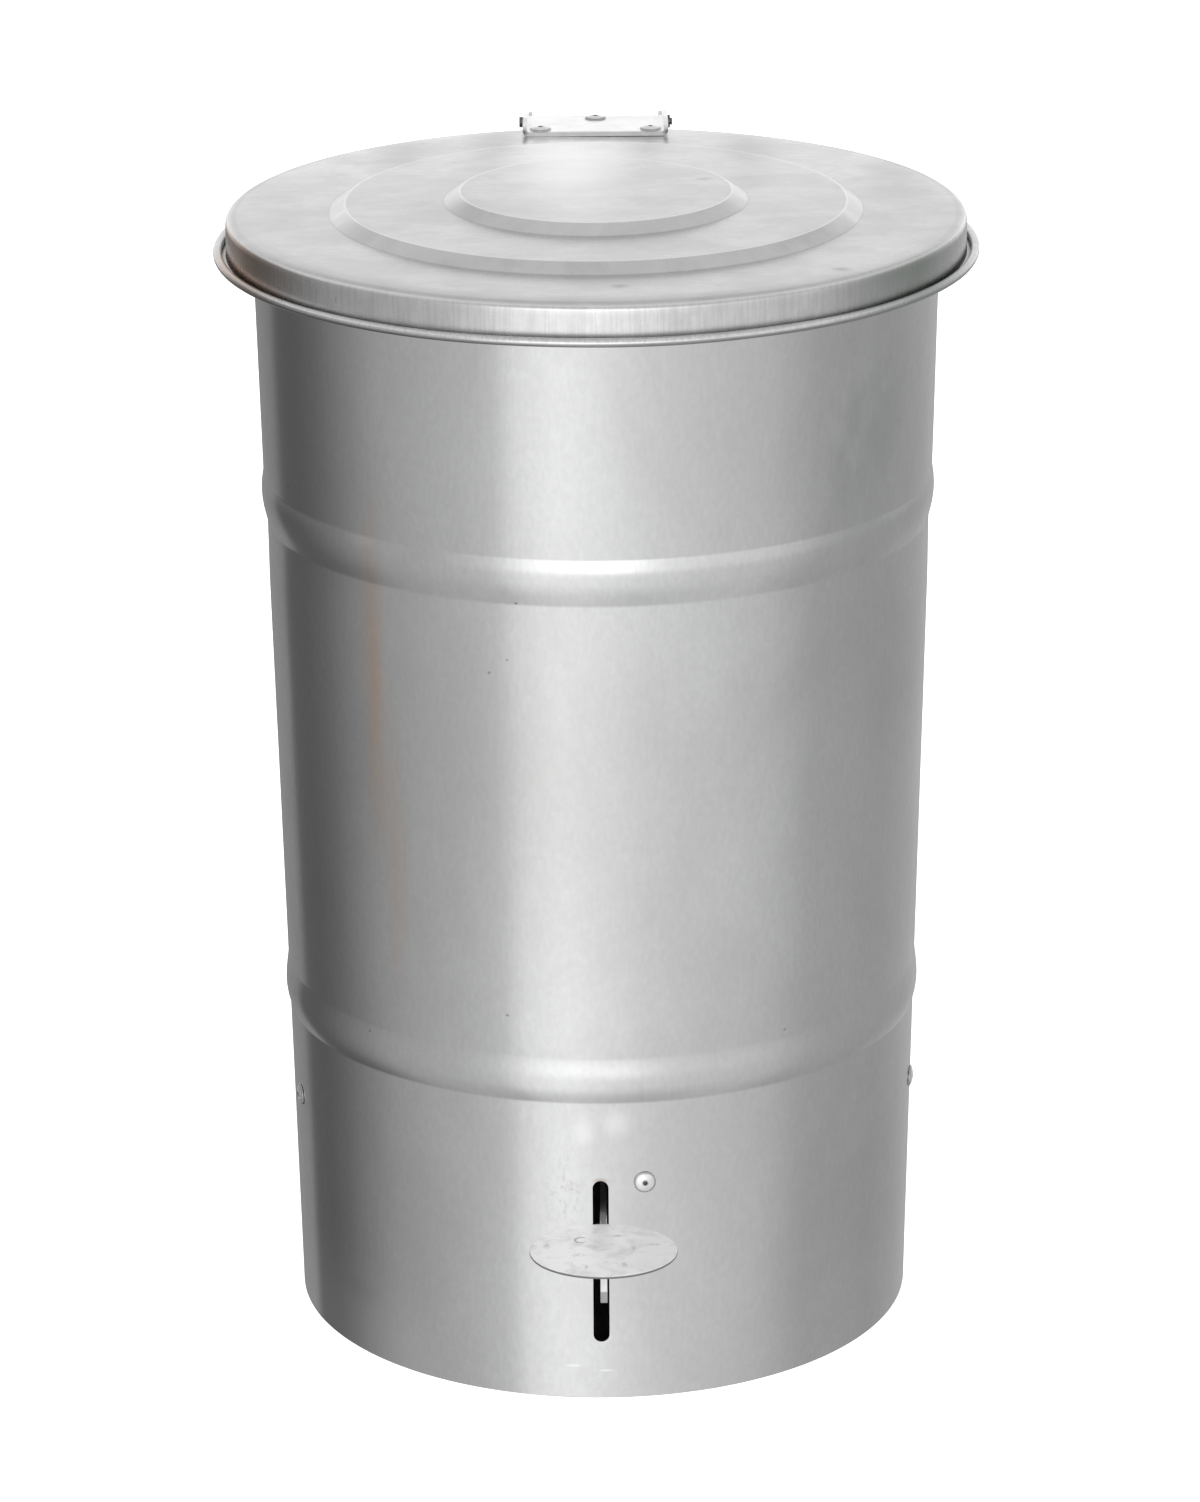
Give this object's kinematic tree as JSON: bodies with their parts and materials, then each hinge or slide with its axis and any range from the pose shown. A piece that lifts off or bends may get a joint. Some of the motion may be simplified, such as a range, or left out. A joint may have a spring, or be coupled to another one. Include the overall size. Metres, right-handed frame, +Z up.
{
  "type": "pedal bin",
  "caption": "Round, slightly tapered galvanized steel bin with a hinged stepped lid that a pedal, a lever under the raised floor and a rod behind the body lift.",
  "frame": {"origin": "centre of the foot ring, on the floor", "axes": "+Z up, -Y towards the pedal at the front, +Y towards the hinge at the rear"},
  "size_m": [0.4506, 0.5396, 0.6916],
  "materials": {
    "galvanized_sheet": "galvanized, satin, faint cloudy spangle",
    "dipped_steel": "hot-dip galvanized after forming, slightly rough",
    "zinc_fastener": "zinc plated, smooth",
    "plated_rod": "drawn and zinc plated"
  },
  "bodies": {
    "bin": {"body_shell": "galvanized_sheet", "body_rim_wire": "plated_rod", "floor_pan": "galvanized_sheet", "floor_rivets": "zinc_fastener", "pivot_bracket": "dipped_steel", "pivot_bracket_rivets": "zinc_fastener", "pivot_pin": "plated_rod", "pivot_spacers": "zinc_fastener", "pivot_pin_clip": "zinc_fastener", "hinge_base": "dipped_steel", "hinge_backing_strip": "galvanized_sheet", "hinge_base_rivets": "zinc_fastener", "hinge_pin": "plated_rod", "hinge_pin_clip": "zinc_fastener"},
    "lid": {"lid": "galvanized_sheet", "lid_edge_wire": "plated_rod", "lid_bracket": "dipped_steel", "lid_bracket_rivets": "zinc_fastener", "lift_tab": "dipped_steel", "lift_tab_rivet": "zinc_fastener"},
    "pedal": {"pedal_lever": "dipped_steel", "pedal_plate": "dipped_steel"},
    "rod": {"push_rod": "plated_rod", "rod_clips": "zinc_fastener"}
  },
  "joints": [
    {"name": "lid_hinge", "type": "hinge", "parent": "bin", "child": "lid", "pos_m": [0, 0.25003, 0.6747], "axis": [-1, 0, 0], "range_deg": [0, 75]},
    {"name": "pedal_pivot", "type": "hinge", "parent": "bin", "child": "pedal", "pos_m": [0, 0.09, 0.1075], "axis": [1, 0, 0], "range_deg": [0, 11.2]},
    {"name": "rod_pivot", "type": "hinge", "parent": "lid", "child": "rod", "pos_m": [0, 0.23203, 0.6612], "axis": [-1, 0, 0], "range_deg": [-75, 0]}
  ],
  "couplings": [
    {"joint": "pedal_pivot", "follows": "lid_hinge", "ratio": 0.1483},
    {"joint": "rod_pivot", "follows": "lid_hinge", "ratio": -1}
  ]
}
